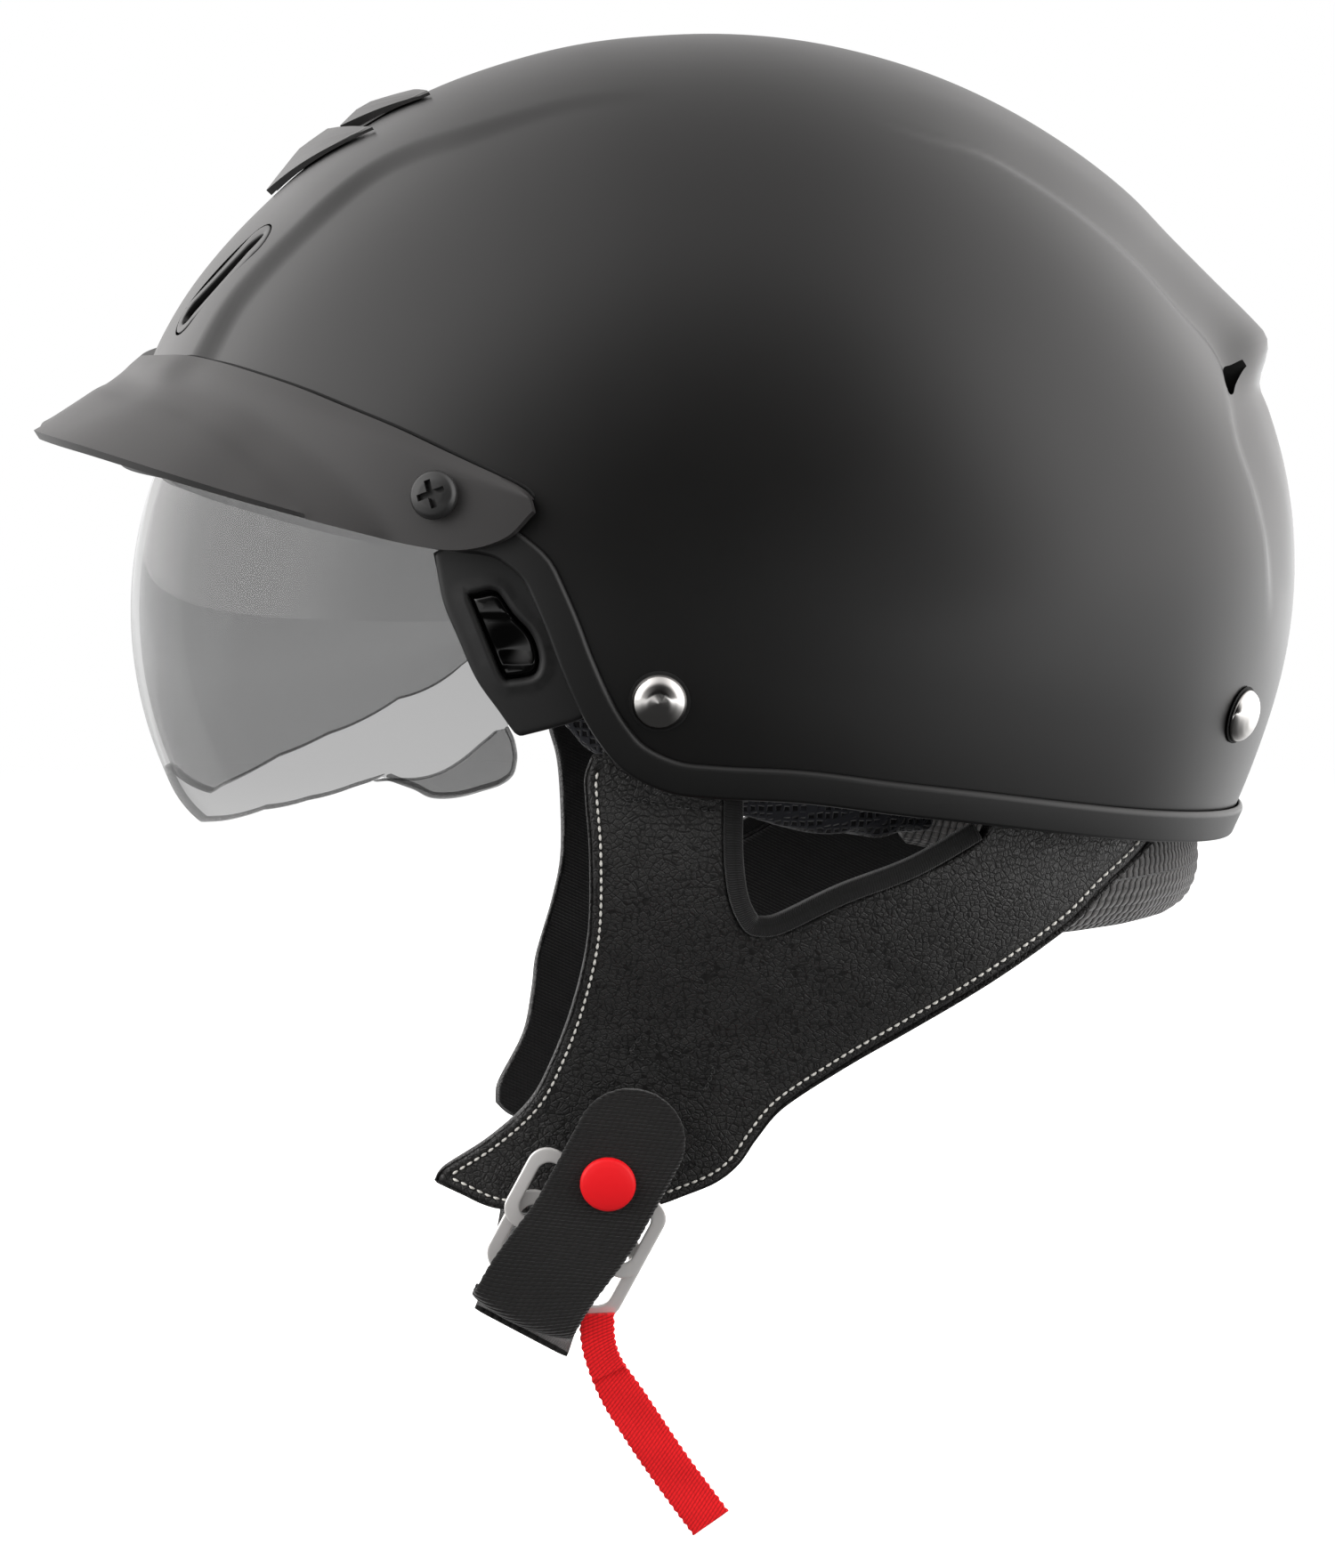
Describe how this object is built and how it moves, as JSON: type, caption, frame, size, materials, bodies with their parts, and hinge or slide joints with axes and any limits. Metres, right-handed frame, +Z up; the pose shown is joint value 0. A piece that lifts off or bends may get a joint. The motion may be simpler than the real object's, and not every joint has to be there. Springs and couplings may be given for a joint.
{
  "type": "open face motorcycle helmet",
  "caption": "Open-face half helmet with peak, drop-down smoked sun visor, crown vent and leather Y-straps closed by a double D-ring and snap.",
  "frame": {"origin": "centre of the crown pad's flat underside, where the helmet rests on a head form or a display stand", "axes": "-Y is the front (peak and visor), +X the wearer's left side with the buckle, +Z up through the crown"},
  "size_m": [0.242, 0.3004, 0.3523],
  "materials": {
    "shell": "matt black paint over moulded shell",
    "trim": "satin black extrusion",
    "chrome": "bright nickel plate",
    "steel": "zinc plated",
    "peak": "fine matt texture",
    "gloss_black": "polished",
    "lens": "smoke tinted polycarbonate",
    "housing": "matt moulded",
    "vent": "satin moulded",
    "foam": "expanded foam beads",
    "pad": "spacer mesh over foam",
    "knit": "ribbed knit",
    "webbing": "diagonal woven nylon",
    "leather": "pebbled, stitched",
    "lining": "brushed knit",
    "binding": "folded binding tape",
    "snap_red": "enamelled cap",
    "tab_red": "woven ribbon"
  },
  "bodies": {
    "helmet": {"outer_shell": "shell", "edge_trim": "trim", "rivet_front_left": "chrome", "rivet_front_right": "chrome", "rivet_rear_left": "chrome", "rivet_rear_right": "chrome", "rivet_washer_front_left": "steel", "rivet_washer_front_right": "steel", "rivet_washer_rear_left": "steel", "rivet_washer_rear_right": "steel", "peak_nut_left": "steel", "peak_nut_right": "steel", "visor_pivot_left": "steel", "visor_pivot_right": "steel", "snap_stud": "steel", "peak": "peak", "peak_screw_left": "gloss_black", "peak_screw_right": "gloss_black", "visor_housing_left": "housing", "visor_housing_right": "housing", "crown_vent_base": "vent", "crown_vent_scoop": "vent", "intake_frame_left": "vent", "intake_frame_right": "vent", "exhaust_grille_left": "vent", "exhaust_grille_right": "vent", "eps_liner": "foam", "crown_pad": "pad", "brow_pad": "pad", "rear_pad": "pad", "side_pad_left": "pad", "side_pad_right": "pad", "neck_roll": "knit", "strap_webbing_left": "webbing", "strap_webbing_right": "webbing", "ring_loop": "webbing", "chin_strap": "webbing", "strap_cover_left": "leather", "strap_cover_right": "leather", "strap_lining_left": "lining", "strap_lining_right": "lining", "notch_binding_left": "binding", "notch_binding_right": "binding"},
    "sun_visor": {"sun_visor": "lens"},
    "vent_slider": {"crown_vent_slider": "vent"},
    "latch_left": {"visor_latch_left": "gloss_black"},
    "latch_right": {"visor_latch_right": "gloss_black"},
    "tail": {"strap_tail": "webbing", "snap_cap": "snap_red", "snap_socket": "steel"},
    "ring_outer": {"d_ring_outer": "chrome"},
    "ring_inner": {"d_ring_inner": "chrome"},
    "tab": {"pull_tab": "tab_red"}
  },
  "joints": [
    {"name": "visor_lift", "type": "hinge", "parent": "helmet", "child": "sun_visor", "pos_m": [0, -0.044, -0.097], "axis": [-1, 0, 0], "range_deg": [0, 38]},
    {"name": "vent_slide", "type": "hinge", "parent": "helmet", "child": "vent_slider", "pos_m": [0, 0, -0.098], "axis": [1, 0, 0], "range_deg": [0, 2.2]},
    {"name": "latch_left_press", "type": "slide", "parent": "helmet", "child": "latch_left", "axis": [-1, 0, 0], "range_m": [0, 0.0015], "stiffness_N_per_m": 300},
    {"name": "latch_right_press", "type": "slide", "parent": "helmet", "child": "latch_right", "axis": [1, 0, 0], "range_m": [0, 0.0015], "stiffness_N_per_m": 300},
    {"name": "tail_flip", "type": "hinge", "parent": "helmet", "child": "tail", "pos_m": [0.06215, -0.04321, -0.25608], "axis": [0, 0.8872, -0.4613], "range_deg": [0, 85]},
    {"name": "ring_outer_swing", "type": "hinge", "parent": "helmet", "child": "ring_outer", "pos_m": [0.06524, -0.02808, -0.22526], "axis": [0, -0.8872, 0.4613], "range_deg": [0, 6]},
    {"name": "ring_inner_swing", "type": "hinge", "parent": "helmet", "child": "ring_inner", "pos_m": [0.062, -0.03228, -0.23506], "axis": [0, 0.8872, -0.4613], "range_deg": [0, 4]},
    {"name": "tab_swing", "type": "hinge", "parent": "ring_inner", "child": "tab", "pos_m": [0.06142, -0.02938, -0.25744], "axis": [0, -0.8872, 0.4613], "range_deg": [0, 18]}
  ]
}
